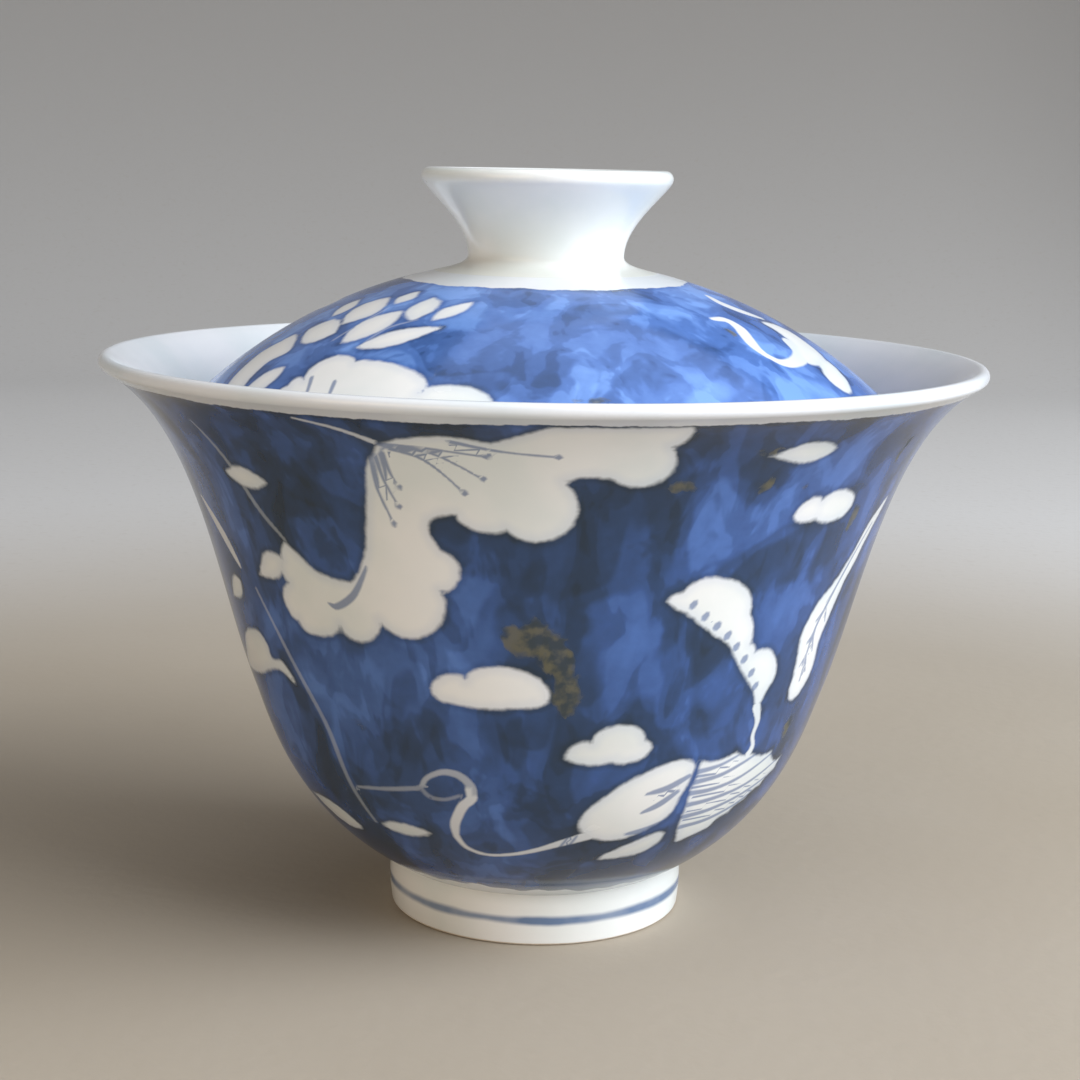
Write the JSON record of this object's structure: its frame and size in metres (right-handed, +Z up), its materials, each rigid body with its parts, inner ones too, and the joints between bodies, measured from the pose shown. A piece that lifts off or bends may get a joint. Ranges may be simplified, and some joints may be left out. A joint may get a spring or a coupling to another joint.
{
  "type": "gaiwan",
  "caption": "Handleless lidded tea cup: flared deep bowl on a foot ring, with a domed lid that drops inside the rim and lifts off by its hollow knob.",
  "frame": {"origin": "centre of the foot ring's resting face, on the table", "axes": "+Z up along the axis that the cup and the lid are turned on; X and Y are level"},
  "size_m": [0.095, 0.095, 0.0814],
  "materials": {
    "painted_porcelain_cup": "glossy clear glaze over a mottled cobalt wash with white reserves; white inside and on the lip",
    "white_porcelain_foot": "glossy clear glaze on white clay with one thin blue line; the resting face is bare fired clay",
    "painted_porcelain_lid": "glossy clear glaze over a mottled cobalt wash with white reserves; white underneath",
    "white_porcelain_knob": "glossy clear glaze on white clay"
  },
  "bodies": {
    "cup": {"cup_bowl": "painted_porcelain_cup", "cup_foot_ring": "white_porcelain_foot"},
    "lid": {"lid_dome": "painted_porcelain_lid", "lid_knob": "white_porcelain_knob"}
  },
  "joints": [
    {"name": "lid_lift", "type": "slide", "parent": "cup", "child": "lid", "axis": [0, 0, 1], "range_m": [0, 0.06]}
  ]
}
